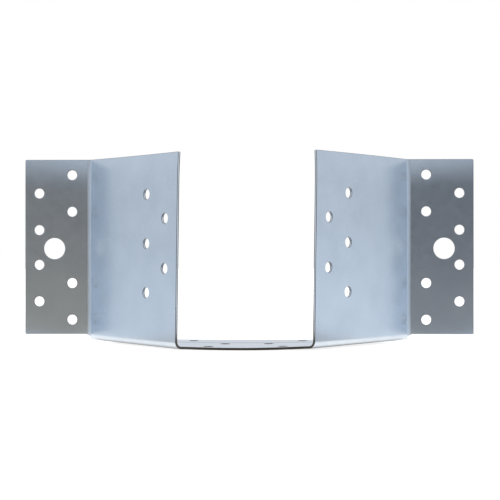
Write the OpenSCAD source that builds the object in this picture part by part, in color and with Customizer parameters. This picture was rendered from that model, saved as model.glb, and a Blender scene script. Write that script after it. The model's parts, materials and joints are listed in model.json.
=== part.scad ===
// Angled joist hanger, folded from one galvanised steel sheet, in millimetres.
// +X is to the right, +Y runs towards the header beam, and +Z is up.
// The origin is in the middle of the part's length and depth, at the underside of the seat.

/* [Sheet] */
// Thickness of the sheet
sheet_t = 1.2; // [0.8:0.1:2]

/* [Joist pocket] */
// Clear width between the side plates at their front edges
pocket_w = 64; // [56:1:100]
// Clear height from the top of the seat to the top edge
pocket_h = 93; // [80:1:140]
// Length of a side plate along its outer face, from the front edge to the fold line
plate_len = 77; // [68:1:110]
// Angle between a side plate and the header face
plate_angle = 50; // [42:1:65]

/* [Bends] */
// Inside radius of the bends between the seat and the side plates
seat_bend_r = 2.6; // [1:0.1:4]
// Inside radius of the bends between the side plates and the flanges
flange_bend_r = 2; // [1:0.25:4]

/* [Flanges] */
// Width of a flange from the fold line to its outer edge
flange_w = 33.6; // [31:0.2:50]
// Height of a flange's lower edge above the curve of the seat bend
flange_rise = 0.1; // [0.1:0.1:5]

/* [Flange holes] */
// Diameter of every nail hole
nail_d = 5.1; // [3:0.1:6]
// Diameter of the bolt hole in each flange
bolt_d = 11; // [8:0.5:12]
// Distance of the outer column of nail holes from the flange's outer edge
outer_col = 7.3; // [6:0.1:8]
// Distance of the inner column of nail holes from the flange's outer edge
inner_col = 24.4; // [24:0.1:26]
// Distance of the bolt hole from the flange's outer edge
bolt_col = 15.2; // [14.5:0.1:16]
// Distance of the middle of the nail pattern below the top edge
nail_mid = 45.5; // [43:0.1:50]
// Distance from the middle of the pattern to the nearest rows of nail holes
first_row = 9; // [9:0.1:10]
// Height from one row of flange nail holes to the next, which is in the other column
flange_row = 9.5; // [9:0.1:12]
// Least distance from the centre of a nail hole to the top or lower edge
edge_least = 6; // [5:0.1:7]
// Distance of the bolt hole below the middle of the nail pattern
bolt_drop = 0.6; // [0:0.1:1.2]

/* [Side plate holes] */
// Distance of the front column of nail holes from the plate's front edge
plate_front_col = 10; // [7:0.1:14]
// Distance of the back column of nail holes from the plate's front edge
plate_back_col = 25.5; // [20:0.1:40]
// Distance of the highest nail hole below the top edge
plate_top_row = 19.5; // [10:0.1:25]
// Height from one row of plate nail holes to the next, which is in the other column
plate_row = 12; // [10:0.1:15]
// Least height of a plate nail hole above the underside of the seat
plate_least = 20; // [12:0.5:25]

/* [Seat holes] */
// Distance of the front row of seat holes from the seat's front edge
seat_first_row = 7.4; // [6:0.1:14]
// Distance from one row of seat holes to the next
seat_row = 20; // [12:0.5:22]
// Half of the distance between the two holes of the front row
seat_front_x = 17.9; // [8:0.1:22]
// Half of the distance between the two holes of the middle row
seat_middle_x = 10.8; // [6:0.1:30]
// Half of the distance between the two holes of the back row
seat_back_x = 27.7; // [6:0.1:40]

/* [Hidden] */
$fn = 64;

// How far a cutter runs past the face that it cuts
cut = 1;

// Outside radius of the seat bends
seat_bend_out = seat_bend_r + sheet_t;

// Directions in plan: a side plate runs back and outwards at plate_angle from the X axis
run_x = cos(plate_angle);
run_y = sin(plate_angle);

top_z = pocket_h + sheet_t;
depth = plate_len * run_y + sheet_t;
header_y = depth / 2;
flange_front_y = header_y - sheet_t;

// Front corner of the right side plate's outer face
corner_x = pocket_w / 2 + sheet_t * run_y;
corner_y = -depth / 2;

// Fold line, where the outer faces of the side plate and the flange would meet
fold_x = corner_x + plate_len * run_x;
// Distance from the fold line to where the bend's curve ends, along either face
fold_tangent = flange_bend_r * tan(plate_angle / 2);
plate_flat = plate_len - fold_tangent;
flange_flat = flange_w - fold_tangent;
edge_x = fold_x + flange_w;

// The plates and flanges are drawn up to here, and one cut then makes their top edge
drawn_top_z = top_z + cut;
flange_low_z = seat_bend_out + flange_rise;
flange_drawn_h = drawn_top_z - flange_low_z;

// The seat's front edge meets a side plate's front edge this far inboard of the seat bend
seat_corner = 1.2;
seat_front_y = corner_y + (seat_bend_out + seat_corner) * run_x;
// Each seat bend is drawn with a flat strip of this width, which the seat's outline laps half way
seat_strip = 2;

// Rows of flange nail holes above and below the middle of the pattern
nail_mid_z = top_z - nail_mid;
rows_above = floor((nail_mid - first_row - edge_least) / flange_row);
rows_below = floor((nail_mid_z - flange_low_z - first_row - edge_least) / flange_row);

// Rows of nail holes down a side plate, starting in the back column
plate_rows = floor((top_z - plate_top_row - plate_least) / plate_row);

// Distance from the outer edge of the column that a flange row is in
function flange_col(row) = row % 2 == 0 ? outer_col : inner_col;
// Distance from the front edge of the column that a plate row is in
function plate_col(row) = row % 2 == 0 ? plate_back_col : plate_front_col;

// Half of the seat's drawn width at a given Y, out to the middle of the strips
function seat_half(y) =
    corner_x + ((y - corner_y) * run_x - seat_bend_out - seat_strip / 2) / run_y;

// Frame of the right side plate, in which the plate, its bends and its flange are drawn.
// X runs along the plate from its front edge, and Y runs inwards from its outer face.
module plate_frame() {
    translate([corner_x, corner_y, 0])
        rotate([0, 0, plate_angle])
            children();
}

// Bend around Z, with the sheet's thickness as its wall. It runs clockwise from the Y axis.
module bend(inside_r, turn, height) {
    reach = inside_r + sheet_t + cut;
    difference() {
        cylinder(r = inside_r + sheet_t, h = height);
        translate([0, 0, -cut])
            cylinder(r = inside_r, h = height + 2 * cut);
        translate([-reach, -reach, -cut])
            cube([reach, 2 * reach, height + 2 * cut]);
        rotate([0, 0, -turn])
            translate([0, -reach, -cut])
                cube([reach, 2 * reach, height + 2 * cut]);
    }
}

// Side plate above its seat bend
module side_plate() {
    translate([0, 0, seat_bend_out])
        cube([plate_flat, sheet_t, drawn_top_z - seat_bend_out]);
}

// Flange, and the bend that joins it to the side plate
module flange() {
    translate([plate_flat, -flange_bend_r, flange_low_z]) {
        bend(flange_bend_r, plate_angle, flange_drawn_h);
        rotate([0, 0, -plate_angle])
            translate([0, flange_bend_r, 0])
                cube([flange_flat, sheet_t, flange_drawn_h]);
    }
}

// Quarter bend along the foot of the side plate
module seat_bend() {
    rotate([90, 0, 90])
        translate([seat_bend_out, seat_bend_out, 0])
            rotate([0, 0, 180])
                bend(seat_bend_r, 90, plate_flat);
}

// Strip of the flat seat along the seat bend
module seat_edge() {
    translate([0, seat_bend_out, 0])
        cube([plate_len + seat_bend_out, seat_strip, sheet_t]);
}

// The right side's sheet without its holes
module right_sheet() {
    difference() {
        plate_frame() {
            side_plate();
            flange();
        }
        translate([0, corner_y, top_z])
            cube([edge_x + cut, depth + cut, 2 * cut]);
    }
    // The seat bend and the seat end at the header face
    difference() {
        plate_frame() {
            seat_bend();
            seat_edge();
        }
        translate([0, header_y, -cut])
            cube([edge_x + cut, plate_len, seat_bend_out + 2 * cut]);
    }
}

// Flat seat, narrow at the front and wide at the header
module seat() {
    front_half = seat_half(seat_front_y);
    back_half = seat_half(header_y);
    linear_extrude(height = sheet_t)
        polygon([
            [-front_half, seat_front_y],
            [front_half, seat_front_y],
            [back_half, header_y],
            [-back_half, header_y]
        ]);
}

// Round hole through the flange, in the direction of the header
module flange_hole(from_edge, z, d) {
    translate([edge_x - from_edge, header_y + cut, z])
        rotate([90, 0, 0])
            cylinder(d = d, h = sheet_t + 2 * cut);
}

module flange_holes() {
    for (row = [0 : rows_above])
        flange_hole(flange_col(row), nail_mid_z + first_row + row * flange_row, nail_d);
    for (row = [0 : rows_below])
        flange_hole(flange_col(row), nail_mid_z - first_row - row * flange_row, nail_d);
    flange_hole(bolt_col, nail_mid_z - bolt_drop, bolt_d);
}

module plate_holes() {
    for (row = [0 : plate_rows])
        plate_frame()
            translate([plate_col(row), sheet_t + cut, top_z - plate_top_row - row * plate_row])
                rotate([90, 0, 0])
                    cylinder(d = nail_d, h = sheet_t + 2 * cut);
}

module seat_holes() {
    half = [seat_front_x, seat_middle_x, seat_back_x];
    for (row = [0 : len(half) - 1])
        translate([half[row], seat_front_y + seat_first_row + row * seat_row, -cut])
            cylinder(d = nail_d, h = sheet_t + 2 * cut);
}

module right_side() {
    difference() {
        right_sheet();
        flange_holes();
        plate_holes();
    }
}

module joist_hanger() {
    color([0.66, 0.71, 0.77])
        union() {
            right_side();
            mirror([1, 0, 0])
                right_side();
            difference() {
                seat();
                seat_holes();
                mirror([1, 0, 0])
                    seat_holes();
            }
        }
}

joist_hanger();
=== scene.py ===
"""The looks of an angled joist hanger: one sheet of galvanised steel, stamped flat and then folded.

The sheet is drawn as the flat blank that the real one is stamped from, in millimetres, and each
point of it is carried through the folds. Sizes that the frame gives are taken from it.
"""
import json
import math
import bpy
from mathutils import Euler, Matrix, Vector, noise
from mathutils.geometry import delaunay_2d_cdt, interpolate_bezier


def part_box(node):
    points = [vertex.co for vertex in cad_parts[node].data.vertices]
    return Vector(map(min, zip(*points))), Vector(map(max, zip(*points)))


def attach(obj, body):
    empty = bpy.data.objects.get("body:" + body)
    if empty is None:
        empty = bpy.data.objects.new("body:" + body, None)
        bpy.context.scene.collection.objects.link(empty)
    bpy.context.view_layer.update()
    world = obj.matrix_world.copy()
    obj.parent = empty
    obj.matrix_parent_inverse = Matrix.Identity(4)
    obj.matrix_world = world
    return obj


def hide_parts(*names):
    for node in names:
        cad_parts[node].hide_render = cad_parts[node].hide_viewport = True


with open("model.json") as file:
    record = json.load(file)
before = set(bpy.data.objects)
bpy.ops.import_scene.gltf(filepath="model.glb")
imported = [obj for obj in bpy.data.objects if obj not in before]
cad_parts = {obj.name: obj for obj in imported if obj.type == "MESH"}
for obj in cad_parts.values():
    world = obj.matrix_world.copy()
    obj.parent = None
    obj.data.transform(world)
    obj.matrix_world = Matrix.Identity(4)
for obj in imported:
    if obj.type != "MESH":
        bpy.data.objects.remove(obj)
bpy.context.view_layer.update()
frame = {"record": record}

MM = 0.001
NODE = "joist_hanger"


# Sizes of the folded sheet, in millimetres

SHEET_T = 1.2
# Angle between a side plate and the header face
PLATE_ANGLE = math.radians(50)
# Length of a side plate's outer face, from the front edge to the fold line
PLATE_LEN = 77.0
# Clear width between the side plates at their front edges
POCKET_W = 64.0
# Width of a flange, from the fold line to its outer edge
FLANGE_W = 33.6
# Height of a flange's lower edge above the curve of the seat bend
FLANGE_RISE = 0.1
# Inside radii of the bends. The solid's is 2 mm at the flanges, and 3 mm softens the highlight there
SEAT_BEND_R = 2.6
FLANGE_BEND_R = 3.0
# How far inboard of the seat bend the seat's front edge meets the plate's front edge
SEAT_CORNER = 1.2

low, high = (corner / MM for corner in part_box(NODE))
TOP_Z = high.z
HEADER_Y = high.y

RUN = Vector((math.cos(PLATE_ANGLE), math.sin(PLATE_ANGLE)))
INWARD = Vector((-RUN.y, RUN.x))
CORNER = Vector((POCKET_W / 2 + SHEET_T * RUN.y, low.y))
SEAT_BEND_OUT = SEAT_BEND_R + SHEET_T
FOLD_TANGENT = FLANGE_BEND_R * math.tan(PLATE_ANGLE / 2)
PLATE_FLAT = PLATE_LEN - FOLD_TANGENT
FLANGE_FLAT = FLANGE_W - FOLD_TANGENT
FOLD_X = CORNER.x + PLATE_LEN * RUN.x

# Lengths of the two bends in the flat blank, at the middle of the sheet
SEAT_ARC = (SEAT_BEND_R + SHEET_T / 2) * math.pi / 2
FLANGE_ARC = (FLANGE_BEND_R + SHEET_T / 2) * PLATE_ANGLE


def up_of(z):
    """Distance along the blank, from the start of the seat bend, of a height on the upright sheet."""
    return SEAT_ARC + z - SEAT_BEND_OUT


UP_TOP = up_of(TOP_Z)
ALONG_END = PLATE_FLAT + FLANGE_ARC + FLANGE_FLAT
SEAT_FRONT_Y = CORNER.y + (SEAT_BEND_OUT + SEAT_CORNER) * RUN.x


def blank_point(along, up):
    """A point of the right wing in the flat blank. Its X and Y are those of the seat's plane."""
    return CORNER + RUN * along + INWARD * (SEAT_BEND_OUT - up)


def wing_place(x, y):
    """The reverse of blank_point, for either side: along the plate, and up from the seat bend."""
    rel = Vector((abs(x), y)) - CORNER
    return rel.dot(RUN), SEAT_BEND_OUT - rel.dot(INWARD)


# How far the real sheet departs from flat, in millimetres

# Roll of the top edge towards the pocket: the height it takes, its depth, and the shares of the
# depth that it gains along the plate and loses along the flange
ROLL_LEN = 15.0
ROLL_DROP = 0.5
ROLL_GAIN = 0.2
ROLL_LOSS = 0.4
# Sag of the seat's middle, and lift of its sides at the front and at the header
SEAT_SAG = 0.4
LIFT_FRONT = 0.3
LIFT_BACK = 0.7
# Sideways lean of the front edges from foot to top, and how much higher the right one ends
TWIST = 1.2
TILT = 0.7
# How much lower the flange's lower edge is than the solid's
FLANGE_HANG = 0.15
# Length and height of the faint waves of the sheet, and the level at which the noise is cut
WAVE_LEN = 26.0
WAVE_H = 0.04
WAVE_LEVEL = 3.0
RIPPLE_LEN = 9.0
RIPPLE_H = 0.004
RIPPLE_LEVEL = 70.0
# Groove of the press across the seat, with a painted dark reflection along it, which fades in next to
# the bends
PRESS_Y = 8.5
PRESS_HALF = 3.0
PRESS_DROP = 0.07
PRESS_FADE = 6.0
# Painted shade on the front cut edge at the seat: how far up the plate it reaches, and the length
# over which it fades
PAINTED_SHADE_HIGH = 9.0
PAINTED_SHADE_FADE = 3.0
# The floor lies just below the lowest point of the sagging seat
FLOOR_Z = -0.5

UP_LOW = up_of(SEAT_BEND_OUT + FLANGE_RISE - FLANGE_HANG)


def warp(x, y, along, up):
    """How far the sheet stands off its plain shape at a point of the blank, towards the pocket."""
    offset = WAVE_H * noise.noise(Vector((x, y, WAVE_LEVEL)) / WAVE_LEN)
    offset += RIPPLE_H * noise.noise(Vector((x, y, RIPPLE_LEVEL)) / RIPPLE_LEN)
    if up > UP_TOP - ROLL_LEN:
        offset += ROLL_DROP * roll_share(along) * (1 - (UP_TOP - up) / ROLL_LEN) ** 2
    lift = LIFT_FRONT + (LIFT_BACK - LIFT_FRONT) * (y - CORNER.y) / (HEADER_Y - CORNER.y)
    if 0 <= up < SEAT_ARC:
        offset += lift * (1 + math.cos(math.pi * up / SEAT_ARC)) / 2
    if up < 0:
        half = abs(x) - up / RUN.y
        across = min(abs(x) / half, 1)
        offset += lift * across ** 4 - SEAT_SAG * (1 - across ** 2) ** 2
        offset -= PRESS_DROP * press_mark(y, up)
    return offset


def roll_share(along):
    """Share of the top edge's roll, which is strongest at the fold."""
    if along < PLATE_FLAT:
        return 1 + ROLL_GAIN * along / PLATE_FLAT
    return 1 + ROLL_GAIN - ROLL_LOSS * (along - PLATE_FLAT) / (ALONG_END - PLATE_FLAT)


def press_mark(y, up):
    """Strength of the mark that the press leaves across the seat, from 0 to 1: its groove, and the
    painted dark reflection along it.
    """
    fade = min(max(-up / PRESS_FADE, 0), 1)
    return max(1 - abs(y - PRESS_Y) / PRESS_HALF, 0) * fade


def painted_edge_shade(y, up):
    """Strength of the painted shade on the cut edge at the front of the seat, from 0 to 1."""
    return min(max((PAINTED_SHADE_HIGH - up) / PAINTED_SHADE_FADE, 0), 1) if y < 0 else 0


def strain(along):
    """How far the zinc is dulled by the fold at the flange, from 0 to 1."""
    across = min(max((along - PLATE_FLAT) / FLANGE_ARC, 0), 1)
    return math.sin(math.pi * across)


def twisted(place):
    """The front of the part leans to the right and is higher there, as the real one's is."""
    ahead = (HEADER_Y - place.y) / (HEADER_Y - CORNER.y)
    upper = (1 + place.z / TOP_Z) / 2
    place.z += TILT * ahead * place.x / POCKET_W * upper
    place.x += TWIST * ahead * (place.z / TOP_Z - 0.5)
    return place


def folded(x, y, depth):
    """Where a point of the blank goes in the folded part. depth is from its outer face, inwards."""
    along, up = wing_place(x, y)
    depth = depth + warp(x, y, along, up)
    if up <= 0:
        return twisted(Vector((x, y, depth)))
    angle = min(up / SEAT_ARC, 1) * math.pi / 2
    radius = SEAT_BEND_OUT - depth
    side = SEAT_BEND_OUT - radius * math.sin(angle)
    z = SEAT_BEND_OUT - radius * math.cos(angle) + max(up - SEAT_ARC, 0)
    forward = along
    if along > PLATE_FLAT:
        turn = min((along - PLATE_FLAT) / FLANGE_ARC, 1) * PLATE_ANGLE
        past = max(along - PLATE_FLAT - FLANGE_ARC, 0)
        radius = FLANGE_BEND_R + side
        forward = PLATE_FLAT + radius * math.sin(turn) + past * math.cos(turn)
        side = radius * math.cos(turn) - FLANGE_BEND_R - past * math.sin(turn)
    plan = CORNER + RUN * forward + INWARD * side
    return twisted(Vector((math.copysign(plan.x, x), plan.y, z)))


# The blank's outline and holes, in millimetres

CORNER_R = 0.7
SEAT_CORNER_R = 3.0
# Notch under the flange: its heights as shares of the seat bend, and how far its corners lie past
# the fold's end lines at the flange and at the plate
NOTCH_R = 0.9
NOTCH_TOP = 0.75
NOTCH_FOOT = 0.40
NOTCH_PAST_FOLD = 0.4
NOTCH_PAST_PLATE = 0.6
# How finely curves, edges and faces are divided
ARC_STEPS = 6
EDGE_STEP = 2.5
HOLE_STEPS = 40
BEND_STEPS = 14
FOLD_STEPS = 10
GRID = 3.0
# Gaps kept by the grid, by the ring of points round a hole, and by the press mark's lines
GRID_GAP = 1.0
HOLE_GAP = 0.6
PRESS_GAP = 0.5
# How far the dividing lines run past the stretch that they divide
OVERRUN = 1.0
# Points closer than this are joined, and only triangles between the given edges are made
JOINED = 1e-4
BETWEEN_EDGES = 1


def fillet(before, corner, after, radius):
    """Points of an arc that rounds a corner of the outline."""
    to_before = (before - corner).normalized()
    to_after = (after - corner).normalized()
    half = to_before.angle(to_after) / 2
    reach = radius / math.tan(half)
    start = corner + to_before * reach
    end = corner + to_after * reach
    handle = radius * 4 / 3 * math.tan((math.pi - 2 * half) / 4)
    curve = interpolate_bezier(start, start - to_before * handle, end - to_after * handle, end,
                               ARC_STEPS + 1)
    return [point.to_2d() for point in curve]


def header_cut(up):
    """How far along the plate the seat bend reaches, where the header's face cuts it."""
    side = SEAT_BEND_OUT * (1 - math.sin(up / SEAT_ARC * math.pi / 2))
    return (HEADER_Y - CORNER.y - side * RUN.x) / RUN.y


def right_outline():
    """Corners of the blank's right half with their radii, from the seat's front to its back."""
    notch_up = SEAT_ARC * NOTCH_TOP
    cut_up = SEAT_ARC * NOTCH_FOOT
    corners = [
        (blank_point(0, -SEAT_CORNER), SEAT_CORNER_R),
        (blank_point(0, UP_TOP), CORNER_R),
        (blank_point(ALONG_END, UP_TOP), CORNER_R),
        (blank_point(ALONG_END, UP_LOW), CORNER_R),
        (blank_point(PLATE_FLAT + FLANGE_ARC + NOTCH_PAST_FOLD, UP_LOW), NOTCH_R),
        (blank_point(PLATE_FLAT + NOTCH_PAST_PLATE, notch_up), NOTCH_R),
        (blank_point(header_cut(cut_up), cut_up), NOTCH_R),
    ]
    cut = [(blank_point(header_cut(up), up), 0) for up in (cut_up / 2, 0)]
    return corners + cut


def outline():
    """The blank's whole outline as short steps, anticlockwise."""
    right = right_outline()
    left = [(Vector((-point.x, point.y)), radius) for point, radius in reversed(right)]
    corners = right + left
    points = []
    for i, (corner, radius) in enumerate(corners):
        before = corners[i - 1][0]
        after = corners[(i + 1) % len(corners)][0]
        points += fillet(before, corner, after, radius) if radius else [corner]
    return stepped(points, EDGE_STEP)


def stepped(loop, step):
    """A closed loop with its long sides split into steps."""
    result = []
    for i, start in enumerate(loop):
        end = loop[(i + 1) % len(loop)]
        parts = max(1, math.ceil((end - start).length / step))
        result += [start.lerp(end, k / parts) for k in range(parts)]
    return result


def circle(centre, radius, steps):
    """Points of a circle, clockwise."""
    turns = [-2 * math.pi * k / steps for k in range(steps)]
    return [centre + Vector((math.cos(t), math.sin(t))) * radius for t in turns]


def mounts(prefix):
    """The record's mounts whose names start with prefix."""
    return [m for m in frame["record"]["mounts"] if m["name"].startswith(prefix)]


def pattern_offsets(dims):
    """Half spacings of a mount's holes, as (sideways, upwards) from its middle."""
    return dims.get("spacing_x_mm", 0) / 2, dims.get("spacing_y_mm", dims.get("pcd_mm", 0)) / 2


def right_holes():
    """Centre in the blank and radius of each hole of the right half, from the record's mounts."""
    found = []
    for mount in mounts("flange_nails") + mounts("header_bolts"):
        aside, above = pattern_offsets(mount["dims"])
        along = PLATE_FLAT + FLANGE_ARC + aside - (FOLD_X + FOLD_TANGENT)
        # A set, because the bolt holes' single row gives one height twice
        for z in {mount["pos_m"][2] / MM + above, mount["pos_m"][2] / MM - above}:
            found.append((blank_point(along, up_of(z)), mount["dims"]["hole_r_mm"]))
    for mount in mounts("right_plate_nails"):
        x, y, z = (value / MM for value in mount["pos_m"])
        along = (Vector((x, y)) - CORNER).dot(RUN)
        above = pattern_offsets(mount["dims"])[1]
        for height in (z + above, z - above):
            found.append((blank_point(along, up_of(height)), mount["dims"]["hole_r_mm"]))
    for mount in mounts("seat_nails"):
        aside = pattern_offsets(mount["dims"])[0]
        found.append((Vector((aside, mount["pos_m"][1] / MM)), mount["dims"]["hole_r_mm"]))
    holes = []
    for centre, radius in found:
        if all((centre - other).length > radius for other, _ in holes):
            holes.append((centre, radius))
    return holes


def both_sides(points):
    """Points of the right half with their mirror images."""
    return points + [Vector((-p.x, p.y)) for p in points]


# Section of the stamped edge, in millimetres and in shares of the sheet's thickness

# Radius of the rolled edge of the outer face, and of the small round at the pocket's face
EDGE_ROLL = 0.3
BURR_R = 0.08
# Depth at which the sheared band ends, the depth over which it steps back, and the step
SHEAR_DEPTH = 0.5
STEP_DEPTH = 0.06
BREAK_IN = 0.03
ROLL_STEPS = 5
BURR_STEPS = 3
# A mitre at a sharp corner is limited to the reach that this cosine gives
LEAST_COSINE = 0.3


def edge_rings():
    """Rings of the edge, from the outer face round to the pocket's: inset, depth and lean.

    The lean is the angle of the ring's normal, from the outer face's normal to the pocket's.
    """
    rings = []
    for k in range(ROLL_STEPS + 1):
        lean = math.pi / 2 * k / ROLL_STEPS
        rings.append((EDGE_ROLL * (1 - math.sin(lean)), EDGE_ROLL * (1 - math.cos(lean)), lean))
    rings.append((0, SHEET_T * SHEAR_DEPTH, math.pi / 2))
    rings.append((BREAK_IN, SHEET_T * (SHEAR_DEPTH + STEP_DEPTH), math.pi / 2))
    rings.append((BREAK_IN, SHEET_T - BURR_R, math.pi / 2))
    for k in range(1, BURR_STEPS + 1):
        turn = math.pi / 2 * k / BURR_STEPS
        rings.append((BREAK_IN + BURR_R * (1 - math.cos(turn)),
                      SHEET_T - BURR_R * (1 - math.sin(turn)), math.pi / 2 + turn))
    rings.append((EDGE_ROLL, SHEET_T, math.pi))
    return rings


def outward_normals(loop, by_length):
    """Unit normals out of the sheet at a loop's points, and how far a mitre there must reach.

    With by_length, a longer side turns its corner's normal more.
    """
    normals = []
    for i, point in enumerate(loop):
        before = point - loop[i - 1]
        after = loop[(i + 1) % len(loop)] - point
        if not by_length:
            before = before.normalized()
            after = after.normalized()
        along = (before + after).normalized()
        normal = Vector((along.y, -along.x))
        edge = before.normalized()
        mitre = 1 / max(normal.dot(Vector((edge.y, -edge.x))), LEAST_COSINE)
        normals.append((normal, mitre))
    return normals


def inset(loop, distance):
    """A loop drawn a distance further into the sheet."""
    places = outward_normals(loop, False)
    return [p - n * mitre * distance for p, (n, mitre) in zip(loop, places)]


def inside(point, loop):
    """Whether a point is inside a closed loop."""
    found = False
    for i, a in enumerate(loop):
        b = loop[i - 1]
        if (a.y > point.y) != (b.y > point.y):
            if point.x < a.x + (point.y - a.y) / (b.y - a.y) * (b.x - a.x):
                found = not found
    return found


def line_points(start, end, step):
    """Points along a line, no further apart than a step."""
    parts = max(1, math.ceil((end - start).length / step))
    return [start.lerp(end, k / parts) for k in range(parts + 1)]


def bend_lines():
    """Lines of the right wing along which the sheet is divided so that its bends are round."""
    lines = []
    for k in range(BEND_STEPS + 1):
        up = SEAT_ARC * k / BEND_STEPS
        lines.append((blank_point(-OVERRUN, up), blank_point(PLATE_FLAT + OVERRUN, up)))
    for k in range(FOLD_STEPS + 1):
        along = PLATE_FLAT + FLANGE_ARC * k / FOLD_STEPS
        lines.append((blank_point(along, 0), blank_point(along, UP_TOP + OVERRUN)))
    return lines


def grid_points(holes):
    """Points spread over the flat stretches, clear of edges, bends and holes."""
    points = []
    rows = math.ceil((UP_TOP - SEAT_ARC) / GRID)
    for row in range(rows):
        up = UP_TOP - GRID_GAP - row * GRID
        if up < SEAT_ARC + GRID_GAP:
            continue
        shift = GRID / 2 * (row % 2)
        for column in range(math.ceil(ALONG_END / GRID)):
            along = GRID_GAP + shift + column * GRID
            on_plate = along < PLATE_FLAT - GRID_GAP
            on_flange = PLATE_FLAT + FLANGE_ARC + GRID_GAP < along < ALONG_END - GRID_GAP
            if on_plate or on_flange:
                points.append(blank_point(along, up))
    for row in range(math.ceil((HEADER_Y - SEAT_FRONT_Y) / GRID)):
        y = SEAT_FRONT_Y + GRID_GAP + row * GRID
        if y > HEADER_Y - GRID_GAP:
            continue
        x = GRID / 2 * (1 + row % 2)
        while wing_place(x, y)[1] < -GRID_GAP:
            points.append(Vector((x, y)))
            x += GRID
    clear = [p for p in points if all((p - c).length > r + GRID_GAP for c, r in holes)]
    for centre, radius in holes:
        clear += circle(centre, radius + EDGE_ROLL + HOLE_GAP, HOLE_STEPS // 2)
    return clear


def triangulated():
    """The blank's face as points and triangles, without its rolled edge."""
    holes = right_holes()
    edge = inset(outline(), EDGE_ROLL)
    both = holes + [(Vector((-c.x, c.y)), r) for c, r in holes]
    loops = [edge] + [circle(c, r + EDGE_ROLL, HOLE_STEPS) for c, r in both]
    points = []
    edges = []
    for loop in loops:
        first = len(points)
        points += loop
        edges += [(first + i, first + (i + 1) % len(loop)) for i in range(len(loop))]
    for start, end in bend_lines():
        for side in (1, -1):
            chain = line_points(start, end, GRID)
            first = len(points)
            points += [Vector((side * p.x, p.y)) for p in chain]
            edges += [(first + i, first + i + 1) for i in range(len(chain) - 1)]
    press = [line_points(Vector((-FOLD_X, y)), Vector((FOLD_X, y)), GRID)
             for y in (PRESS_Y - PRESS_HALF, PRESS_Y, PRESS_Y + PRESS_HALF)]
    for chain in press:
        chain = [p for p in chain if wing_place(p.x, p.y)[1] < -PRESS_GAP]
        first = len(points)
        points += chain
        edges += [(first + i, first + i + 1) for i in range(len(chain) - 1)]
    points += both_sides(grid_points(holes))
    found = delaunay_2d_cdt(points, edges, [], BETWEEN_EDGES, JOINED)
    points, triangles = found[0], found[2]
    kept = []
    for first, second, third in triangles:
        a, b, c = points[first], points[second], points[third]
        middle = (a + b + c) / 3
        if not inside(middle, edge):
            continue
        if any((middle - centre).length < radius + EDGE_ROLL for centre, radius in both):
            continue
        anticlockwise = (b - a).cross(c - a) > 0
        kept.append([first, second, third] if anticlockwise else [first, third, second])
    return points, kept


def boundary_loops(triangles):
    """Closed chains of the triangles' free edges, with the sheet on their left."""
    directed = {(t[i], t[(i + 1) % 3]) for t in triangles for i in range(3)}
    following = {a: b for a, b in directed if (b, a) not in directed}
    loops = []
    while following:
        start, point = following.popitem()
        loop = [start]
        while point != start:
            loop.append(point)
            point = following.pop(point)
        loops.append(loop)
    return loops


# Short step on the blank, over which the folded sheet's directions are measured
NUDGE = 0.02


def surface_normal(x, y, depth):
    """Normal of the folded sheet towards the pocket's side."""
    here = folded(x, y, depth)
    by_x = folded(x + NUDGE, y, depth) - here
    by_y = folded(x, y + NUDGE, depth) - here
    return by_x.cross(by_y).normalized()


def build_sheet():
    """The folded sheet as one closed mesh with smooth normals, and what its material needs."""
    points, triangles = triangulated()
    used = sorted({i for t in triangles for i in t})
    places = []
    normals = []
    flat = []
    values = {"through": [], "cut": [], "press_painted_reflection": [], "painted_edge_shade_mask": [], "strained": []}

    def add(x, y, depth, lean, outward):
        """Add a point of the blank, folded, and give its number."""
        here = folded(x, y, depth)
        across = surface_normal(x, y, depth)
        normal = -across * math.cos(lean)
        if outward is not None:
            step = folded(x + outward.x * NUDGE, y + outward.y * NUDGE, depth) - here
            normal += (step - across * step.dot(across)).normalized() * math.sin(lean)
        places.append(here * MM)
        normals.append(normal.normalized())
        flat.append(Vector((x, y, depth)) * MM)
        along, up = wing_place(x, y)
        values["through"].append(depth / SHEET_T)
        values["cut"].append(math.sin(lean))
        # Mask of the painted dark reflection along the press mark
        values["press_painted_reflection"].append(press_mark(y, up))
        # Mask of the painted shade on the cut edge along the front of the seat
        values["painted_edge_shade_mask"].append(painted_edge_shade(y, up))
        values["strained"].append(strain(along))
        return len(places) - 1

    outer = {i: add(*points[i], 0, 0, None) for i in used}
    inner = {i: add(*points[i], SHEET_T, math.pi, None) for i in used}
    faces = [[outer[i] for i in reversed(t)] for t in triangles]
    faces += [[inner[i] for i in t] for t in triangles]
    rings = edge_rings()
    for loop in boundary_loops(triangles):
        line = [points[i] for i in loop]
        mitres = outward_normals(line, False)
        shading = outward_normals(line, True)
        previous = [outer[i] for i in loop]
        for number, (inset_by, depth, lean) in enumerate(rings[1:], 1):
            if number == len(rings) - 1:
                current = [inner[i] for i in loop]
            else:
                current = []
                for p, (n, mitre), (shade, _) in zip(line, mitres, shading):
                    place = p + n * mitre * (EDGE_ROLL - inset_by)
                    current.append(add(place.x, place.y, depth, lean, shade))
            for k in range(len(loop)):
                following = (k + 1) % len(loop)
                faces.append([previous[k], previous[following], current[following], current[k]])
            previous = current
    mesh = bpy.data.meshes.new("folded_sheet")
    mesh.from_pydata(places, [], faces)
    mesh.shade_smooth()
    mesh.normals_split_custom_set_from_vertices(normals)
    for name, column in values.items():
        mesh.attributes.new(name, "FLOAT", "POINT").data.foreach_set("value", column)
    layer = mesh.attributes.new("blank", "FLOAT_VECTOR", "POINT")
    layer.data.foreach_set("vector", [value for place in flat for value in place])
    return mesh


# Materials

def new_material(name):
    """A material without nodes, with its nodes and links."""
    material = bpy.data.materials.new(name)
    material.use_nodes = True
    material.node_tree.nodes.clear()
    return material, material.node_tree.nodes, material.node_tree.links


def connect(links, socket, value):
    """Link a node's output to a socket, or set the socket to a number or a colour."""
    if isinstance(value, bpy.types.NodeSocket):
        links.new(value, socket)
    elif isinstance(value, tuple):
        socket.default_value = (*value, 1)
    else:
        socket.default_value = value


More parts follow.
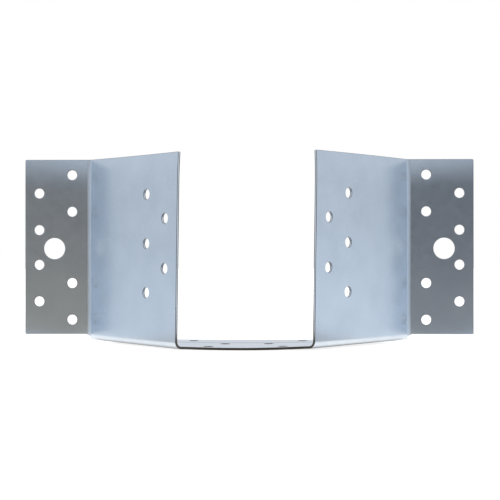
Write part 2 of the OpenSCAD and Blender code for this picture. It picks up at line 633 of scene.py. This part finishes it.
def colour_mix(nodes, links, blend, factor, a, b):
    """A mix of two colours. Its sockets go by number, as several of them share a name."""
    node = nodes.new("ShaderNodeMix")
    node.data_type = "RGBA"
    node.blend_type = blend
    for socket, value in zip((node.inputs[0], node.inputs[6], node.inputs[7]), (factor, a, b)):
        connect(links, socket, value)
    return node.outputs[2]


def math_node(nodes, links, operation, a, b):
    """The result of a sum or another operation on two numbers."""
    node = nodes.new("ShaderNodeMath")
    node.operation = operation
    connect(links, node.inputs[0], a)
    connect(links, node.inputs[1], b)
    return node.outputs[0]


def map_range(nodes, links, source, span, values):
    """A smooth step of a number from one value to another."""
    node = nodes.new("ShaderNodeMapRange")
    node.interpolation_type = "SMOOTHSTEP"
    node.inputs["From Min"].default_value, node.inputs["From Max"].default_value = span
    node.inputs["To Min"].default_value, node.inputs["To Max"].default_value = values
    links.new(source, node.inputs["Value"])
    return node.outputs["Result"]


# Colours of the zinc's clouds and grain, and its roughness, by the strength of their noise
CLOUD_STOPS = [(0.3, (0.582, 0.654, 0.738)), (0.7, (0.636, 0.708, 0.792))]
GRAIN_STOPS = [(0.3, (0.90, 0.90, 0.90)), (0.7, (1.0, 1.0, 1.0))]
ROUGH_STOPS = [(0.3, (0.215, 0.215, 0.215)), (0.7, (0.235, 0.235, 0.235))]
# Scale and detail of each noise. The scale is about the number of its waves in a metre
CLOUD_NOISE = (60, 3)
GRAIN_NOISE = (1400, 2)
ROUGH_NOISE = (240, 3)
BUMP_NOISE = (900, 2)
BUMP_STRENGTH = 0.05
BUMP_DEPTH = 0.0002
# Painted dark reflection that the zinc's colour is multiplied by along the press mark, and the
# roughness that the fold adds
PRESS_PAINTED_REFLECTION = (0.26, 0.28, 0.31)
STRAIN_ROUGH = 0.32
# Cut edge from the outer face to the pocket's: the rolled band, darkened with painted shade, and the
# sheared band, then the broken one
EDGE_STOPS = [(0.0, (0.17, 0.18, 0.19)), (0.16, (0.19, 0.20, 0.22)), (0.24, (0.79, 0.83, 0.89)),
              (0.60, (0.74, 0.78, 0.83)), (0.68, (0.054, 0.05, 0.048)), (1.0, (0.06, 0.058, 0.054))]
# Painted shade on the cut edge along the front of the seat
FRONT_EDGE_PAINTED_SHADE = (0.132, 0.126, 0.12)
# The zinc gives way to the cut edge between these sines of the normal's lean
BARE_SPAN = (0.1, 0.6)


def galvanised():
    """Satin zinc on the faces, with a bright sheared band and a dark broken band on cut edges. The
    rolled band and the seat's front edge carry painted shade, and the press mark a painted dark
    reflection.
    """
    material, nodes, links = new_material("galvanised_steel")

    def attribute(name):
        """One of the values that build_sheet stores at the mesh's points."""
        node = nodes.new("ShaderNodeAttribute")
        node.attribute_name = name
        return node.outputs["Fac"]

    blank = nodes.new("ShaderNodeAttribute")
    blank.attribute_name = "blank"

    def noise_over_blank(kind):
        """The strength of a noise that lies on the blank, so that it runs on through the folds."""
        node = nodes.new("ShaderNodeTexNoise")
        node.inputs["Scale"].default_value, node.inputs["Detail"].default_value = kind
        links.new(blank.outputs["Vector"], node.inputs["Vector"])
        return node.outputs["Fac"]

    def ramp(source, stops):
        """Colours by the strength of a source. Two stops are there already."""
        node = nodes.new("ShaderNodeValToRGB")
        links.new(source, node.inputs["Fac"])
        for element, (place, colour) in zip(node.color_ramp.elements, stops):
            element.position = place
            element.color = (*colour, 1)
        for place, colour in stops[2:]:
            element = node.color_ramp.elements.new(place)
            element.color = (*colour, 1)
        return node.outputs["Color"]

    clouds = ramp(noise_over_blank(CLOUD_NOISE), CLOUD_STOPS)
    grain = ramp(noise_over_blank(GRAIN_NOISE), GRAIN_STOPS)
    zinc = colour_mix(nodes, links, "MULTIPLY", 1.0, clouds, grain)
    # Along the press mark the zinc is darkened by a painted dark reflection
    face = colour_mix(nodes, links, "MULTIPLY", attribute("press_painted_reflection"), zinc, PRESS_PAINTED_REFLECTION)
    # The rolled band's dark colour is painted shade; the sheared and broken bands are the cut steel's
    # own
    cut_edge_and_shade = ramp(attribute("through"), EDGE_STOPS)
    # Along the front of the seat the cut edge is darkened with painted shade
    edge = colour_mix(nodes, links, "MIX", attribute("painted_edge_shade_mask"), cut_edge_and_shade, FRONT_EDGE_PAINTED_SHADE)
    bare = map_range(nodes, links, attribute("cut"), BARE_SPAN, (0, 1))
    rough = ramp(noise_over_blank(ROUGH_NOISE), ROUGH_STOPS)
    dulled = math_node(nodes, links, "MULTIPLY", attribute("strained"), STRAIN_ROUGH)
    bump = nodes.new("ShaderNodeBump")
    bump.inputs["Strength"].default_value = BUMP_STRENGTH
    bump.inputs["Distance"].default_value = BUMP_DEPTH
    links.new(noise_over_blank(BUMP_NOISE), bump.inputs["Height"])
    shader = nodes.new("ShaderNodeBsdfPrincipled")
    shader.inputs["Metallic"].default_value = 1.0
    links.new(colour_mix(nodes, links, "MIX", bare, face, edge), shader.inputs["Base Color"])
    links.new(math_node(nodes, links, "ADD", rough, dulled), shader.inputs["Roughness"])
    links.new(bump.outputs["Normal"], shader.inputs["Normal"])
    output = nodes.new("ShaderNodeOutputMaterial")
    links.new(shader.outputs["BSDF"], output.inputs["Surface"])
    return material


# Studio. Places and sizes are in metres, and a radiance is the brightness of a mirror image

FLOOR_HALF = 3.0
FLOOR_COLOUR = (0.54, 0.51, 0.47)
# Glow of the floor to the camera, near the object and far from it, and the span between the two
SEEN_NEAR = 0.85
SEEN_FAR = 1.0
SEEN_SPAN = (0.2, 0.5)
# Glow of the floor in reflections: close to the object, at its sides, and in front
MIRRORED_NEAR = (1.058, 1.017, 0.975)
MIRRORED_SIDE_LEFT = (0.45, 0.517, 0.6)
MIRRORED_SIDE_RIGHT = (0.525, 0.592, 0.675)
MIRRORED_LEFT = (0.108, 0.067, 0.008)
MIRRORED_RIGHT = (0.013, 0.013, 0.021)
# Where the floor is close to the object: distances outwards from the foot of a side plate, and Y
NEAR_OUTER = (0.040, 0.0)
NEAR_INNER = (-0.006, -0.002)
NEAR_FRONT = (-0.040, -0.033)
# Where the floor in front becomes that at the sides: distance from the middle plus a share of Y
ASIDE_SPAN = (0.085, 0.120)
ASIDE_LEAN = 1.3
# Where the left half's glow becomes the right half's
LEFT_TO_RIGHT = (-0.1, 0.1)
# Shade where the object touches the floor
CONTACT_REACH = 0.0025
CONTACT_SHADE = 0.3
# Walls of the light tent at the sides and behind, and the darker opening in front. The spans are
# of a direction's X, Y or Z
TENT = (0.692, 0.733, 0.783)
TENT_BEHIND = (0.81, 0.835, 0.87)
BEHIND = (0.55, 0.9)
OPENING_LEFT = (0.113, 0.108, 0.104)
OPENING_RIGHT = (0.037, 0.042, 0.054)
OPENING_WIDE = (-0.35, -0.85)
OPENING_HIGH = (0.19, 0.075)
OPENING_SIDES = (-0.12, 0.12)
# Soft boxes: place, the point it faces, and width and height
LAMPS = {
    "left_box": ((-0.75, 0.05, 0.50), (0, 0.05, 0.50), (1.2, 0.7)),
    "right_box": ((0.75, 0.05, 0.50), (0, 0.05, 0.50), (1.2, 0.7)),
    "top_box": ((0.0, -0.1, 0.9), (0, 0, 0), (1.2, 1.0)),
}
LAMP_RADIANCE = 0.083
# Camera, found from the corners and holes in the photo: millimetres and degrees
CAMERA_PLACE = (13.92, -638.74, 46.16)
CAMERA_TURN = (90.098, 0.03, 1.139)
LENS = 92.94
SENSOR_W = 36


def floor_material():
    """Pale and diffuse, with a glow that only the camera and reflections see."""
    material, nodes, links = new_material("floor")
    path = nodes.new("ShaderNodeLightPath")
    place = nodes.new("ShaderNodeNewGeometry").outputs["Position"]

    def glow(strength, colour, ray):
        """Light from the floor that only one kind of ray sees."""
        emission = nodes.new("ShaderNodeEmission")
        level = math_node(nodes, links, "MULTIPLY", path.outputs[ray], strength)
        connect(links, emission.inputs["Color"], colour)
        connect(links, emission.inputs["Strength"], level)
        return emission.outputs[0]

    distance = nodes.new("ShaderNodeVectorMath")
    distance.operation = "LENGTH"
    links.new(place, distance.inputs[0])
    seen = map_range(nodes, links, distance.outputs["Value"], SEEN_SPAN, (SEEN_NEAR, SEEN_FAR))
    split = nodes.new("ShaderNodeSeparateXYZ")
    links.new(place, split.inputs[0])
    x, y = split.outputs["X"], split.outputs["Y"]
    from_middle = math_node(nodes, links, "ABSOLUTE", x, 0)

    # Beside the side plates' feet
    across = math_node(nodes, links, "MULTIPLY", from_middle, RUN.y)
    back = math_node(nodes, links, "MULTIPLY", y, RUN.x)
    from_origin = math_node(nodes, links, "SUBTRACT", across, back)
    foot = (CORNER.x * RUN.y - CORNER.y * RUN.x) * MM
    from_foot = math_node(nodes, links, "SUBTRACT", from_origin, foot)
    outside = map_range(nodes, links, from_foot, NEAR_OUTER, (0, 1))
    beneath = map_range(nodes, links, from_foot, NEAR_INNER, (0, 1))
    beside = map_range(nodes, links, y, NEAR_FRONT, (0, 1))
    strip = math_node(nodes, links, "MULTIPLY", outside, beneath)
    close = math_node(nodes, links, "MULTIPLY", strip, beside)

    # At the sides and in front
    lean = math_node(nodes, links, "MULTIPLY", y, ASIDE_LEAN)
    reach = math_node(nodes, links, "ADD", from_middle, lean)
    aside = map_range(nodes, links, reach, ASIDE_SPAN, (0, 1))
    right = map_range(nodes, links, x, LEFT_TO_RIGHT, (0, 1))
    front = colour_mix(nodes, links, "MIX", right, MIRRORED_LEFT, MIRRORED_RIGHT)
    side = colour_mix(nodes, links, "MIX", right, MIRRORED_SIDE_LEFT, MIRRORED_SIDE_RIGHT)
    outer = colour_mix(nodes, links, "MIX", aside, front, side)
    mirrored = colour_mix(nodes, links, "MIX", close, outer, MIRRORED_NEAR)
    occlusion = nodes.new("ShaderNodeAmbientOcclusion")
    occlusion.inputs["Distance"].default_value = CONTACT_REACH
    contact = map_range(nodes, links, occlusion.outputs["AO"], (0, 1), (CONTACT_SHADE, 1))

    diffuse = nodes.new("ShaderNodeBsdfDiffuse")
    diffuse.inputs["Color"].default_value = (*FLOOR_COLOUR, 1)
    surface = diffuse.outputs[0]
    for part in (glow(seen, (1, 1, 1), "Is Camera Ray"), glow(contact, mirrored, "Is Glossy Ray")):
        add = nodes.new("ShaderNodeAddShader")
        links.new(surface, add.inputs[0])
        links.new(part, add.inputs[1])
        surface = add.outputs[0]
    output = nodes.new("ShaderNodeOutputMaterial")
    links.new(surface, output.inputs["Surface"])
    return material


def make_floor():
    """A wide floor under the object."""
    mesh = bpy.data.meshes.new("floor")
    z = FLOOR_Z * MM
    corners = [(-FLOOR_HALF, -FLOOR_HALF, z), (FLOOR_HALF, -FLOOR_HALF, z),
               (FLOOR_HALF, FLOOR_HALF, z), (-FLOOR_HALF, FLOOR_HALF, z)]
    mesh.from_pydata(corners, [], [(0, 1, 2, 3)])
    mesh.materials.append(floor_material())
    floor = bpy.data.objects.new("floor", mesh)
    bpy.context.scene.collection.objects.link(floor)


def make_lights():
    """Soft boxes round the object, which the camera itself doesn't see."""
    for name, (place, aim, size) in LAMPS.items():
        data = bpy.data.lights.new(name, "AREA")
        data.shape = "RECTANGLE"
        data.size, data.size_y = size
        data.energy = LAMP_RADIANCE * size[0] * size[1] * math.pi
        lamp = bpy.data.objects.new(name, data)
        lamp.location = place
        lamp.rotation_euler = (Vector(aim) - Vector(place)).to_track_quat("-Z", "Y").to_euler()
        lamp.visible_camera = False
        bpy.context.scene.collection.objects.link(lamp)


def make_world():
    """White to the camera, and a light tent with a dark opening to everything else."""
    world = bpy.data.worlds.new("studio")
    bpy.context.scene.world = world
    world.use_nodes = True
    nodes, links = world.node_tree.nodes, world.node_tree.links
    nodes.clear()
    path = nodes.new("ShaderNodeLightPath")
    direction = nodes.new("ShaderNodeSeparateXYZ")
    links.new(nodes.new("ShaderNodeTexCoord").outputs["Generated"], direction.inputs[0])
    ahead = map_range(nodes, links, direction.outputs["Y"], OPENING_WIDE, (0, 1))
    below = map_range(nodes, links, direction.outputs["Z"], OPENING_HIGH, (0, 1))
    opening = math_node(nodes, links, "MULTIPLY", ahead, below)
    right = map_range(nodes, links, direction.outputs["X"], OPENING_SIDES, (0, 1))
    dark = colour_mix(nodes, links, "MIX", right, OPENING_LEFT, OPENING_RIGHT)
    behind = map_range(nodes, links, direction.outputs["Y"], BEHIND, (0, 1))
    tent = colour_mix(nodes, links, "MIX", behind, TENT, TENT_BEHIND)
    room = nodes.new("ShaderNodeBackground")
    links.new(colour_mix(nodes, links, "MIX", opening, tent, dark), room.inputs["Color"])
    white = nodes.new("ShaderNodeBackground")
    white.inputs["Color"].default_value = (1, 1, 1, 1)
    mix = nodes.new("ShaderNodeMixShader")
    links.new(path.outputs["Is Camera Ray"], mix.inputs[0])
    links.new(room.outputs[0], mix.inputs[1])
    links.new(white.outputs[0], mix.inputs[2])
    output = nodes.new("ShaderNodeOutputWorld")
    links.new(mix.outputs[0], output.inputs["Surface"])


def make_camera():
    """The photo's camera, in front of the object and nearly level."""
    data = bpy.data.cameras.new("camera")
    data.lens = LENS
    data.sensor_width = SENSOR_W
    camera = bpy.data.objects.new("camera", data)
    camera.location = Vector(CAMERA_PLACE) * MM
    camera.rotation_euler = Euler([math.radians(angle) for angle in CAMERA_TURN])
    bpy.context.scene.collection.objects.link(camera)
    bpy.context.scene.camera = camera


make_camera()
make_world()
make_floor()
make_lights()

sheet = bpy.data.objects.new("sheet", build_sheet())
bpy.context.scene.collection.objects.link(sheet)
sheet.data.materials.append(galvanised())
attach(sheet, "root")
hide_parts(NODE)

bpy.context.scene.view_settings.view_transform = "Standard"
